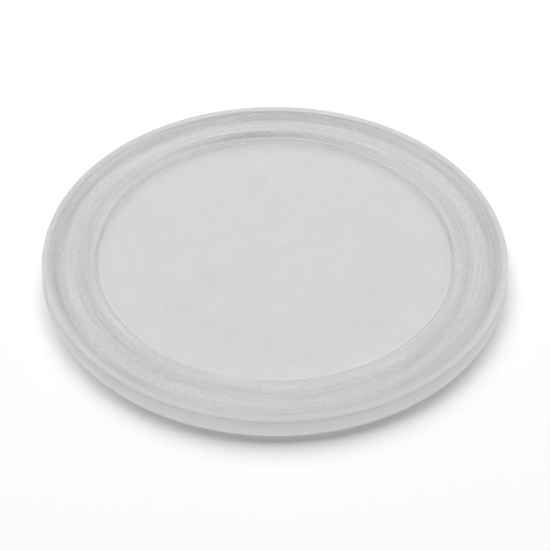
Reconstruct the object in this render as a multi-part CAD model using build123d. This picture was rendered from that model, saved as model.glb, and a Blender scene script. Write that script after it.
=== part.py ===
from build123d import *
import os
from math import radians, tan

# Turntable plate of a microwave oven, pressed as one piece of glass and round about Z.
# A flat middle disc lies one step below a broad ring. Under the ring runs the track for the wheels
# that carry the plate. Outside the track a skirt comes down level with the disc's underside, and a
# cove and a rounded lip finish the ring's edge.
# Lengths are in millimetres and angles in degrees. A radius is a distance from the axis of the plate,
# and a rounding is the radius of a rounded corner. The origin is the middle of the underside.

# Plate and glass
plate_diameter = 245.0  # across the foot, where the wall is widest
ring_width = 28.8  # from the foot of the step out to the edge of the lip
glass_thickness = 4.8  # of the middle disc, and of the ring above the track

# Step between disc and ring, and the track below it
step_rise = 2.8  # of the ring above the disc, and of the track above the foot
step_web = 2.1  # glass between the foot of the step and the track's inner wall
step_foot_rounding = 1.0
step_edge_rounding = 0.5
skirt_width = 8.3  # of the foot outside the track
track_corner_rounding = 0.6
foot_rounding = 0.5
press_draft = 6.0  # lean of the walls that let the press tools lift away

# Cove from the flat of the ring up to the lip
cove_width = 8.0
cove_rise = 0.9

# Lip round the edge
lip_width = 4.6
lip_edge_rise = 0.9  # of the lip's inner edge above the cove
lip_edge_lean = 45.0  # of the slope up to that edge, from upright
lip_edge_rounding = 0.6
lip_foot_rounding = 1.0
lip_crown = 0.6  # of the lip's crest above its inner edge
lip_rounding = 0.8  # of the quarter round from the crest to the lip's outer face
lip_face = 0.3  # height of that outer face
crease_depth = 0.3  # of the wall's top behind the lip
crease_rounding = 0.2

# Heights, from the foot upwards
disc_top = glass_thickness
ring_top = disc_top + step_rise
cove_top = ring_top + cove_rise
lip_edge_top = cove_top + lip_edge_rise
plate_height = lip_edge_top + lip_crown
lip_face_top = plate_height - lip_rounding
lip_face_foot = lip_face_top - lip_face
wall_top = lip_face_foot - crease_depth

# Radii, from the foot's edge inwards
draft_slope = tan(radians(press_draft))
step_lean = step_rise * draft_slope
plate_radius = plate_diameter / 2
wall_top_radius = plate_radius - wall_top * draft_slope
lip_outer_radius = wall_top_radius + crease_depth
crest_radius = lip_outer_radius - lip_rounding
lip_inner_radius = lip_outer_radius - lip_width
cove_radius = lip_inner_radius - cove_width
foot_inner_radius = plate_radius - skirt_width
track_outer_radius = foot_inner_radius - step_lean
disc_radius = lip_outer_radius - ring_width
ring_radius = disc_radius + step_lean
track_inner_radius = disc_radius + step_web

# Corners of the section, as radius and height, up over the top face and back along the underside
axis_top = (0, disc_top)
step_foot = (disc_radius, disc_top)
step_edge = (ring_radius, ring_top)
cove_start = (cove_radius, ring_top)
lip_foot = (lip_inner_radius, cove_top)
lip_edge = (lip_inner_radius + lip_edge_rise * tan(radians(lip_edge_lean)), lip_edge_top)
crest = (crest_radius, plate_height)
lip_outside = (lip_outer_radius, lip_face_top)
lip_underside = (lip_outer_radius, lip_face_foot)
crease = (wall_top_radius, wall_top)
foot_outside = (plate_radius, 0)
foot_inside = (foot_inner_radius, 0)
track_outside = (track_outer_radius, step_rise)
track_inside = (track_inner_radius, step_rise)
disc_foot = (track_inner_radius - step_lean, 0)
axis_foot = (0, 0)

# Roundings that the pressing leaves at those corners
roundings = [
    (step_foot, step_foot_rounding),
    (step_edge, step_edge_rounding),
    (lip_foot, lip_foot_rounding),
    (lip_edge, lip_edge_rounding),
    (lip_underside, crease_rounding),
    (crease, crease_rounding),
    (foot_outside, foot_rounding),
    (foot_inside, foot_rounding),
    (track_outside, track_corner_rounding),
    (track_inside, track_corner_rounding),
    (disc_foot, foot_rounding),
]


def plate_section():
    """Half of the plate's section, from the axis out to the foot's edge."""
    outline = Curve() + [
        Polyline(axis_top, step_foot, step_edge, cove_start),
        TangentArc(cove_start, lip_foot, tangent=(1, 0)),
        Line(lip_foot, lip_edge),
        TangentArc(crest, lip_edge, tangent=(-1, 0)),
        TangentArc(crest, lip_outside, tangent=(1, 0)),
        Polyline(lip_outside, lip_underside, crease, foot_outside, foot_inside),
        Polyline(foot_inside, track_outside, track_inside, disc_foot, axis_foot, axis_top),
    ]
    section = make_face(outline.edges())
    for corner, rounding in roundings:
        vertex = section.vertices().sort_by_distance(Vector(*corner))[0]
        section = fillet(vertex, rounding)
    return section


turntable_plate = revolve(Plane.XZ * plate_section(), Axis.Z)

os.makedirs("parts", exist_ok=True)
export_step(turntable_plate, "parts/turntable_plate.step")
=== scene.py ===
# Looks of a microwave oven's turntable plate: one piece of pressed glass on a white studio floor.
# The script works in metres, and MM turns the millimetres that the sizes are written in to metres.
from math import atan2, cos, pi, radians, sin, tan, tau

import bmesh
import bpy
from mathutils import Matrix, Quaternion, Vector


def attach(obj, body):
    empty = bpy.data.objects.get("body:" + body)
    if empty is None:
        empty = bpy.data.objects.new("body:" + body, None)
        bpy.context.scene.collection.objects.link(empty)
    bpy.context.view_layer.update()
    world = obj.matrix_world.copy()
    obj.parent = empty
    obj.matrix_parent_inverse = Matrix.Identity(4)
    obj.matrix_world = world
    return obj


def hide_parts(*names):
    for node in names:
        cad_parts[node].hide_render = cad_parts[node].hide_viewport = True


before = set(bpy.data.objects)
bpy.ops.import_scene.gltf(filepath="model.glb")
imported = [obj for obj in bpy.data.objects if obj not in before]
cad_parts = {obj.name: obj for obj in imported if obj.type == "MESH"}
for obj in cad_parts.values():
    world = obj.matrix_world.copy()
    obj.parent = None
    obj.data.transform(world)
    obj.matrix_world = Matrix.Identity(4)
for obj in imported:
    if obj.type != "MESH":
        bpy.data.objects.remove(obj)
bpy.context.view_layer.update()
MM = 0.001

# Section of the plate in millimetres, the same as the solid that the piece stands for
plate_radius = 122.5
ring_width = 28.8
glass_thickness = 4.8
step_rise = 2.8
step_web = 2.1
step_foot_rounding = 1.0
step_edge_rounding = 0.5
skirt_width = 8.3
track_corner_rounding = 0.6
foot_rounding = 0.5
press_draft = radians(6)
cove_width = 8.0
cove_rise = 0.9
lip_width = 4.6
lip_edge_rise = 0.9
lip_edge_lean = radians(45)
lip_edge_rounding = 0.6
lip_foot_rounding = 1.0
lip_crown = 0.6
lip_rounding = 0.8
lip_face = 0.3
crease_depth = 0.3
crease_rounding = 0.2

# Heights, from the foot upwards
disc_top = glass_thickness
ring_top = disc_top + step_rise
cove_top = ring_top + cove_rise
lip_edge_top = cove_top + lip_edge_rise
plate_height = lip_edge_top + lip_crown
lip_face_top = plate_height - lip_rounding
lip_face_foot = lip_face_top - lip_face
wall_top = lip_face_foot - crease_depth

# Radii, from the foot's edge inwards
draft_slope = tan(press_draft)
step_lean = step_rise * draft_slope
wall_top_radius = plate_radius - wall_top * draft_slope
lip_outer_radius = wall_top_radius + crease_depth
crest_radius = lip_outer_radius - lip_rounding
lip_inner_radius = lip_outer_radius - lip_width
cove_radius = lip_inner_radius - cove_width
foot_inner_radius = plate_radius - skirt_width
disc_radius = lip_outer_radius - ring_width
track_inner_radius = disc_radius + step_web

# How finely the plate is turned and rounded, in millimetres where it is a length
turn_steps = 360
rounding_steps = 6
rounding_room = 0.97  # share of the shorter neighbour that a rounding may take up
same_place = 0.001
flat_face_weight = 100

# Camera, in metres and in pixels of the picture
picture_pixels = 550
camera_focal_pixels = 1492.7
camera_distance = 0.7917
camera_elevation = radians(42.68)
camera_roll = radians(0.24)
aim_in_front = 0.0116  # of the plate's middle
sensor_width = 36.0

# Studio, in metres where it is a length
studio_white = "#FFFFFF"
floor_size = 6.0
floor_gap = 0.05 * MM
floor_lift = 0.03  # glow of the floor where it is seen
world_share = 0.14  # strength of the light from all round
softbox_distance = 8.0

# Softboxes, by the angle from straight behind the plate, the angle above the floor and the size in metres.
# A strength of 1 lights a white face that looks at the lamp white.
floor_lamp = dict(azimuth=radians(-5), elevation=radians(47), width=10.0, height=6.5, strength=1.53)
back_lamp = dict(azimuth=0.0, elevation=radians(70), width=12.0, height=3.2, strength=0.69)
through_lamp = dict(azimuth=0.0, elevation=radians(30), width=12.0, height=5.8, strength=0.2)
low_lamp = dict(azimuth=0.0, elevation=radians(20), width=12.0, height=3.0, strength=0.43)
front_lamp = dict(azimuth=pi, elevation=radians(25), width=16.0, height=3.0, strength=0.24)
bounce_lamp = dict(azimuth=pi, elevation=radians(-15), width=16.0, height=3.0, strength=0.5)
right_lamp = dict(azimuth=pi / 2, elevation=radians(35), width=8.0, height=6.0, strength=0.23)
left_lamp = dict(azimuth=-pi / 2, elevation=radians(35), width=8.0, height=6.0, strength=0.23)

# Shine of the glass, from the smooth disc to the dull wall
glass_ior = 1.5
glass_transmission = 0.4
disc_roughness = 0.18
ring_roughness = 0.28
wall_roughness = 0.8

# Tones of the top face, by distance from the axis in millimetres. Painted shade darkens the disc just inside
# the step, the step's riser and edge, the cove and the lip's foot; a painted highlight lightens the step's
# foot and the lip's crest.
top_tones = [
    (86.0, "#E1E1E1"),
    (91.0, "#DDDDDD"),
    (92.6, "#E4E4E4"),
    (93.2, "#E9E9E9"),
    (93.4, "#DADADA"),
    (93.8, "#D9D9D9"),
    (94.3, "#DFDFDF"),
    (95.6, "#E4E4E4"),
    (109.5, "#E5E5E5"),
    (112.5, "#D9D9D9"),
    (116.6, "#D3D3D3"),
    (117.4, "#CDCDCD"),
    (118.2, "#D0D0D0"),
    (119.4, "#D3D3D3"),
    (120.3, "#D9D9D9"),
    (121.1, "#D9D9D9"),
]

# Tones of the underside, by distance from the axis: a darker band on the track's ceiling, and a darker band
# at the skirt
under_tones = [
    (90.0, "#E1E1E1"),
    (97.2, "#E0E0E0"),
    (99.0, "#B2B1B0"),
    (103.4, "#B2B1B0"),
    (105.0, "#E2E2E2"),
    (112.8, "#DCDCDC"),
    (114.0, "#B0B0B0"),
    (117.0, "#B0B0B0"),
    (120.5, "#E9E9E9"),
]

# Tones of the outside, by height in millimetres: the wall, painted lighter towards its foot as light from the
# floor would make it, painted shade in the crease, and the lip's outer round with a painted highlight
outside_tones = [
    (0.0, "#E7E6E5"),
    (3.0, "#E3E2E1"),
    (8.0, "#DCDBDA"),
    (wall_top, "#C4C4C4"),
    (lip_face_foot, "#C4C4C4"),
    (lip_face_top, "#D6D6D6"),
    (9.6, "#E1E1E1"),
    (9.9, "#E5E5E5"),
    (plate_height, "#D9D9D9"),
]

# Painted shade on the far half of the ring, behind the middle: distance from the axis, half width, half turn
# to each side, and tone
far_shade_bands = [
    (98.8, 3.4, radians(42), "#CAC6C1"),
    (114.8, 3.6, radians(44), "#DAD7D3"),
]
shade_band_core = 0.6

# Marks in the glass, in millimetres. The grain of the mould's skin is finer than the picture can show,
# so it is drawn as coarse as it needs to be seen.
grain_width = 0.4
grain_length = 2.0
streak_width = 1.8
streak_length = 60.0
streak_share = 0.4
mark_detail = 2.0
mark_dark = "#E0DFDD"
mark_fade = 1.0
skin_depth = 0.012
cloud_size = 12.0
cloud_detail = 6.0
cloud_roughness = 0.85
cloud_dark = "#F7F7F7"
disc_margin = 10.0  # of smooth glass inside the step
unmarked = "#FFFFFF"
noise_low = 0.36  # nearly all of a noise lies between this and noise_high
noise_high = 0.64
multiplied = dict(data_type="RGBA", blend_type="MULTIPLY")


def linear(hex_colour):
    """Linear colour of an sRGB hex value."""
    parts = [int(hex_colour[i:i + 2], 16) / 255 for i in (1, 3, 5)]
    return [p / 12.92 if p <= 0.04045 else ((p + 0.055) / 1.055) ** 2.4 for p in parts] + [1.0]


def add(tree, kind, inputs=None, **settings):
    """Adds a node with its settings, and sets or links its inputs."""
    node = tree.nodes.new(kind)
    for name, value in settings.items():
        setattr(node, name, value)
    for socket, value in (inputs or {}).items():
        if isinstance(value, bpy.types.NodeSocket):
            tree.links.new(value, node.inputs[socket])
        else:
            node.inputs[socket].default_value = value
    return node


def section_corners():
    """Corners of half the section as radius, height and rounding, from the disc's top out to the foot."""
    lip_edge_radius = lip_inner_radius + lip_edge_rise * tan(lip_edge_lean)
    crest_run = crest_radius - lip_edge_radius
    cove_turn = 2 * atan2(cove_rise, cove_width)
    crown_turn = 2 * atan2(lip_crown, crest_run)
    cove_arc = cove_width / sin(cove_turn)
    crown_arc = crest_run / sin(crown_turn)
    return [
        (0, disc_top, 0),
        (disc_radius, disc_top, step_foot_rounding),
        (disc_radius + step_lean, ring_top, step_edge_rounding),
        (cove_radius + cove_arc * tan(cove_turn / 2), ring_top, cove_arc),
        (lip_inner_radius, cove_top, lip_foot_rounding),
        (lip_edge_radius, lip_edge_top, lip_edge_rounding),
        (crest_radius - crown_arc * tan(crown_turn / 2), plate_height, crown_arc),
        (lip_outer_radius, plate_height, lip_rounding),
        (lip_outer_radius, lip_face_foot, crease_rounding),
        (wall_top_radius, wall_top, crease_rounding),
        (plate_radius, 0, foot_rounding),
        (foot_inner_radius, 0, foot_rounding),
        (foot_inner_radius - step_lean, step_rise, track_corner_rounding),
        (track_inner_radius, step_rise, track_corner_rounding),
        (track_inner_radius - step_lean, 0, foot_rounding),
        (0, 0, 0),
    ]


def round_ring(mesh, before, corner, after):
    """Rounds the ring that one corner of the section was spun into."""
    here = Vector(corner[:2])
    turn = (here - Vector(before[:2])).angle(Vector(after[:2]) - here)
    shortest = min((here - Vector(before[:2])).length, (Vector(after[:2]) - here).length)
    offset = min(corner[2] * tan(turn / 2), rounding_room * shortest)

    def on_ring(vert):
        found = Vector((vert.co.xy.length, vert.co.z)) / MM
        return (found - here).length < same_place

    ring = [edge for edge in mesh.edges if all(on_ring(vert) for vert in edge.verts)]
    bmesh.ops.bevel(
        mesh, geom=ring, offset=offset * MM, offset_type="OFFSET", segments=rounding_steps,
        profile=0.5, affect="EDGES", clamp_overlap=False, material=-1,
    )


def turned_plate():
    """The whole plate: its section spun about Z, with its corners then rounded."""
    corners = section_corners()
    mesh = bmesh.new()
    verts = [mesh.verts.new((radius * MM, 0, height * MM)) for radius, height, _ in corners]
    for first, second in zip(verts, verts[1:]):
        mesh.edges.new((first, second))
    bmesh.ops.spin(
        mesh, geom=mesh.verts[:] + mesh.edges[:], cent=(0, 0, 0), axis=(0, 0, 1),
        angle=tau, steps=turn_steps, use_merge=True,
    )
    bmesh.ops.remove_doubles(mesh, verts=mesh.verts[:], dist=same_place * MM)
    bmesh.ops.recalc_face_normals(mesh, faces=mesh.faces[:])
    for before, corner, after in zip(corners, corners[1:], corners[2:]):
        round_ring(mesh, before, corner, after)
    bmesh.ops.remove_doubles(mesh, verts=mesh.verts[:], dist=same_place * MM)
    for face in mesh.faces:
        face.smooth = True
    data = bpy.data.meshes.new("turntable_plate_glass")
    mesh.to_mesh(data)
    mesh.free()
    plate = bpy.data.objects.new("turntable_plate_glass", data)
    bpy.context.collection.objects.link(plate)
    normals = plate.modifiers.new("flat faces stay flat", "WEIGHTED_NORMAL")
    normals.weight = flat_face_weight
    return plate


def tone_by_place(tree, radius, height):
    """Tone of the glass on the top, on the underside and on the outside beyond the crest of the lip, with
    painted shade and painted highlights among the tones.
    """
    ramps = []
    for stops, measure in ((top_tones, radius), (under_tones, radius), (outside_tones, height)):
        first, last = stops[0][0], stops[-1][0]
        along = add(tree, "ShaderNodeMapRange", {"Value": measure, "From Min": first, "From Max": last})
        ramp = add(tree, "ShaderNodeValToRGB", {"Fac": along.outputs[0]})
        elements = ramp.color_ramp.elements
        for place, tone in stops[1:-1]:
            elements.new((place - first) / (last - first)).color = linear(tone)
        elements[0].color = linear(stops[0][1])
        elements[-1].color = linear(stops[-1][1])
        ramps.append(ramp.outputs["Color"])
    between = (step_rise + disc_top) / 2
    under = add(tree, "ShaderNodeMath", {0: height, 1: between}, operation="LESS_THAN")
    outside = add(tree, "ShaderNodeMath", {0: radius, 1: crest_radius}, operation="GREATER_THAN")
    tone = add(tree, "ShaderNodeMix", {0: under.outputs[0], 6: ramps[0], 7: ramps[1]}, data_type="RGBA")
    tone = add(tree, "ShaderNodeMix", {
        0: outside.outputs[0], 6: tone.outputs[2], 7: ramps[2],
    }, data_type="RGBA")
    return tone.outputs[2]


def turning_noises(tree, radius, outward):
    """Noise of the fine grain and of the broader streaks, both drawn out along the turning direction."""
    across = add(tree, "ShaderNodeCombineXYZ", {"Z": radius}).outputs[0]
    noises = []
    for length, width in ((grain_length, grain_width), (streak_length, streak_width)):
        turned = add(tree, "ShaderNodeVectorMath", {
            0: outward, "Scale": plate_radius / length,
        }, operation="SCALE")
        spread = add(tree, "ShaderNodeVectorMath", {0: across, "Scale": 1 / width}, operation="SCALE")
        winding = add(tree, "ShaderNodeVectorMath", {0: turned.outputs[0], 1: spread.outputs[0]})
        noise = add(tree, "ShaderNodeTexNoise", {
            "Vector": winding.outputs[0], "Scale": 1.0, "Detail": mark_detail,
        })
        noises.append(noise.outputs["Fac"])
    return noises


def shaded_far_half(tree, colour, radius, outward, skin):
    """Painted shade on the far half of the ring, in bands along the turning direction, broken up by the marks
    of the mould.
    """
    behind = add(tree, "ShaderNodeVectorMath", {0: outward, 1: (0, 1, 0)}, operation="DOT_PRODUCT")
    patchy = add(tree, "ShaderNodeMapRange", {"Value": skin, "From Min": noise_high, "From Max": noise_low})
    for middle, half_width, half_turn, tone in far_shade_bands:
        off = add(tree, "ShaderNodeMath", {0: radius, 1: middle}, operation="SUBTRACT")
        off = add(tree, "ShaderNodeMath", {0: off.outputs[0]}, operation="ABSOLUTE")
        near = add(tree, "ShaderNodeMapRange", {
            "Value": off.outputs[0], "From Min": half_width, "From Max": shade_band_core * half_width,
        })
        turned = add(tree, "ShaderNodeMapRange", {
            "Value": behind.outputs["Value"], "From Min": cos(half_turn), "From Max": 1.0,
        })
        there = add(tree, "ShaderNodeMath", {0: near.outputs[0], 1: turned.outputs[0]}, operation="MULTIPLY")
        there = add(tree, "ShaderNodeMath", {0: there.outputs[0], 1: patchy.outputs[0]}, operation="MULTIPLY")
        mix = add(tree, "ShaderNodeMix", {0: there.outputs[0], 6: colour, 7: linear(tone)}, **multiplied)
        colour = mix.outputs[2]
    return colour


def pressed_glass():
    """Soda-lime glass, pressed in an iron mould and left as it came from it. The mould's skin makes it
    hazy and only half see-through. The ring is duller than the disc, with fine marks along the turning
    direction, and the wall is duller still."""
    material = bpy.data.materials.new("pressed_soda_lime_glass")
    material.use_nodes = True
    tree = material.node_tree
    shader = tree.nodes["Principled BSDF"]
    shader.inputs["IOR"].default_value = glass_ior
    shader.inputs["Transmission Weight"].default_value = glass_transmission

    # Where a point of the plate lies, in millimetres
    place = add(tree, "ShaderNodeTexCoord").outputs["Object"]
    spot = add(tree, "ShaderNodeVectorMath", {0: place, "Scale": 1 / MM}, operation="SCALE").outputs[0]
    height = add(tree, "ShaderNodeSeparateXYZ", {0: spot}).outputs["Z"]
    flat = add(tree, "ShaderNodeVectorMath", {0: spot, 1: (1, 1, 0)}, operation="MULTIPLY").outputs[0]
    radius = add(tree, "ShaderNodeVectorMath", {0: flat}, operation="LENGTH").outputs["Value"]
    outward = add(tree, "ShaderNodeVectorMath", {0: flat}, operation="NORMALIZE").outputs[0]
    started = add(tree, "ShaderNodeMapRange", {
        "Value": radius, "From Min": disc_radius, "From Max": disc_radius + mark_fade,
    })
    ended = add(tree, "ShaderNodeMapRange", {
        "Value": radius, "From Min": lip_inner_radius, "From Max": lip_inner_radius - mark_fade,
    })
    on_ring = add(tree, "ShaderNodeMath", {0: started.outputs[0], 1: ended.outputs[0]}, operation="MULTIPLY")

    # Marks of the mould on the ring
    grain, streaks = turning_noises(tree, radius, outward)
    skin = add(tree, "ShaderNodeMix", {0: streak_share, 2: grain, 3: streaks})
    marks = add(tree, "ShaderNodeMapRange", {
        "Value": skin.outputs[0], "From Min": noise_low, "From Max": noise_high,
    })
    marks = add(tree, "ShaderNodeMix", {
        0: marks.outputs[0], 6: linear(mark_dark), 7: linear(unmarked),
    }, data_type="RGBA")
    tone = tone_by_place(tree, radius, height)
    marked = add(tree, "ShaderNodeMix", {0: on_ring.outputs[0], 6: tone, 7: marks.outputs[2]}, **multiplied)
    # Painted shade on the far half of the ring
    far_shaded = shaded_far_half(tree, marked.outputs[2], radius, outward, skin.outputs[0])

    # Faint clouds and specks in the disc, which leave a margin inside the step
    clouds = add(tree, "ShaderNodeTexNoise", {
        "Vector": spot, "Scale": 1 / cloud_size, "Detail": cloud_detail, "Roughness": cloud_roughness,
    })
    clouds = add(tree, "ShaderNodeMapRange", {
        "Value": clouds.outputs["Fac"], "From Min": noise_low, "From Max": noise_high,
    })
    clouds = add(tree, "ShaderNodeMix", {
        0: clouds.outputs[0], 6: linear(cloud_dark), 7: linear(unmarked),
    }, data_type="RGBA")
    inside = add(tree, "ShaderNodeMapRange", {
        "Value": radius, "From Min": disc_radius, "From Max": disc_radius - disc_margin,
    })
    clouded = add(tree, "ShaderNodeMix", {0: inside.outputs[0], 6: far_shaded, 7: clouds.outputs[2]}, **multiplied)
    tree.links.new(clouded.outputs[2], shader.inputs["Base Color"])

    # Dullness, which grows outwards in two steps
    dullness = add(tree, "ShaderNodeMapRange", {
        "Value": started.outputs[0], "To Min": disc_roughness, "To Max": ring_roughness,
    })
    added = add(tree, "ShaderNodeMapRange", {
        "Value": radius, "From Min": crest_radius, "From Max": wall_top_radius,
        "To Min": 0.0, "To Max": wall_roughness - ring_roughness,
    })
    dullness = add(tree, "ShaderNodeMath", {0: dullness.outputs[0], 1: added.outputs[0]})
    tree.links.new(dullness.outputs[0], shader.inputs["Roughness"])

    # The marks stand in the ring's glass
    depth = add(tree, "ShaderNodeMath", {0: skin.outputs[0], 1: on_ring.outputs[0]}, operation="MULTIPLY")
    relief = add(tree, "ShaderNodeBump", {"Height": depth.outputs[0], "Distance": skin_depth * MM})
    tree.links.new(relief.outputs["Normal"], shader.inputs["Normal"])
    return material


def seen_share(tree):
    """1 for what the camera sees, straight, mirrored or through glass, and 0 for light on the plate."""
    path = add(tree, "ShaderNodeLightPath").outputs
    seen = add(tree, "ShaderNodeMath", {0: path["Is Camera Ray"], 1: path["Is Glossy Ray"]})
    seen = add(tree, "ShaderNodeMath", {0: seen.outputs[0], 1: path["Is Transmission Ray"]}, use_clamp=True)
    return seen.outputs[0]


def studio_floor():
    """White floor that keeps the plate's shadow."""
    mesh = bmesh.new()
    bmesh.ops.create_grid(mesh, x_segments=1, y_segments=1, size=floor_size / 2)
    bmesh.ops.translate(mesh, verts=mesh.verts[:], vec=(0, 0, -floor_gap))
    data = bpy.data.meshes.new("studio_floor")
    mesh.to_mesh(data)
    mesh.free()
    floor = bpy.data.objects.new("studio_floor", data)
    bpy.context.collection.objects.link(floor)
    material = bpy.data.materials.new("white_paper_floor")
    material.use_nodes = True
    tree = material.node_tree
    tree.nodes.clear()
    lift = add(tree, "ShaderNodeMath", {0: seen_share(tree), 1: floor_lift}, operation="MULTIPLY")
    paper = add(tree, "ShaderNodeBsdfDiffuse", {"Color": linear(studio_white)})
    glow = add(tree, "ShaderNodeEmission", {"Strength": lift.outputs[0]})
    both = add(tree, "ShaderNodeAddShader", {0: paper.outputs[0], 1: glow.outputs[0]})
    add(tree, "ShaderNodeOutputMaterial", {"Surface": both.outputs[0]})
    data.materials.append(material)
    return floor


def studio_world():
    """Soft light from all round, and white where the camera or the glass sees past the floor."""
    world = bpy.data.worlds.new("studio_world")
    world.use_nodes = True
    tree = world.node_tree
    tree.nodes.clear()
    fill = add(tree, "ShaderNodeBackground", {"Color": linear(studio_white), "Strength": world_share})
    white = add(tree, "ShaderNodeBackground", {"Color": linear(studio_white), "Strength": 1.0})
    mix = add(tree, "ShaderNodeMixShader", {0: seen_share(tree), 1: fill.outputs[0], 2: white.outputs[0]})
    add(tree, "ShaderNodeOutputWorld", {"Surface": mix.outputs[0]})
    bpy.context.scene.world = world


def softbox(name, lit, shading, azimuth, elevation, width, height, strength):
    """A soft lamp that lights one object and is shaded by one object."""
    lamp = bpy.data.lights.new(name, "AREA")
    lamp.shape = "RECTANGLE"
    lamp.size = width
    lamp.size_y = height
    lamp.energy = strength * pi ** 2 * softbox_distance ** 2
    place = Vector((sin(azimuth) * cos(elevation), cos(azimuth) * cos(elevation), sin(elevation)))
    place *= softbox_distance
    obj = bpy.data.objects.new(name, lamp)
    bpy.context.collection.objects.link(obj)
    obj.location = place
    obj.rotation_euler = (-place).to_track_quat("-Z", "Y").to_euler()
    receivers = bpy.data.collections.new(name + "_lights")
    receivers.objects.link(lit)
    obj.light_linking.receiver_collection = receivers
    blockers = bpy.data.collections.new(name + "_shaded_by")
    blockers.objects.link(shading)
    obj.light_linking.blocker_collection = blockers
    return obj


def photo_camera():
    """Camera at the photograph's angle, in front of the plate and above it."""
    camera = bpy.data.cameras.new("photo_camera")
    camera.sensor_width = sensor_width
    camera.lens = sensor_width * camera_focal_pixels / picture_pixels
    obj = bpy.data.objects.new("photo_camera", camera)
    bpy.context.collection.objects.link(obj)
    obj.location = (0, -camera_distance * cos(camera_elevation), camera_distance * sin(camera_elevation))
    aim = Vector((0, -aim_in_front, 0)) - obj.location
    turn = aim.to_track_quat("-Z", "Y") @ Quaternion((0, 0, 1), camera_roll)
    obj.rotation_euler = turn.to_euler()
    bpy.context.scene.camera = obj


plate = turned_plate()
plate.data.materials.append(pressed_glass())
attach(plate, "root")
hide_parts("turntable_plate")

floor = studio_floor()
studio_world()
softbox("floor_softbox", floor, plate, **floor_lamp)
softbox("back_softbox", plate, plate, **back_lamp)
low = softbox("low_softbox", plate, plate, **low_lamp)
softbox("right_softbox", plate, plate, **right_lamp)
softbox("left_softbox", plate, plate, **left_lamp)

# Light that the plate's own glass doesn't hold back, so that only the floor stops it
softbox("through_softbox", plate, floor, **through_lamp)
front = softbox("front_softbox", plate, floor, **front_lamp)

# Light that the floor in front throws back up at the faces that stand upright
bounce = softbox("bounce_softbox", plate, plate, **bounce_lamp)
bounce.data.use_shadow = False

# Lamps that light the plate and don't show in its gloss
for hidden in (low, front, bounce):
    hidden.visible_glossy = False

photo_camera()
bpy.context.scene.view_settings.view_transform = "Standard"
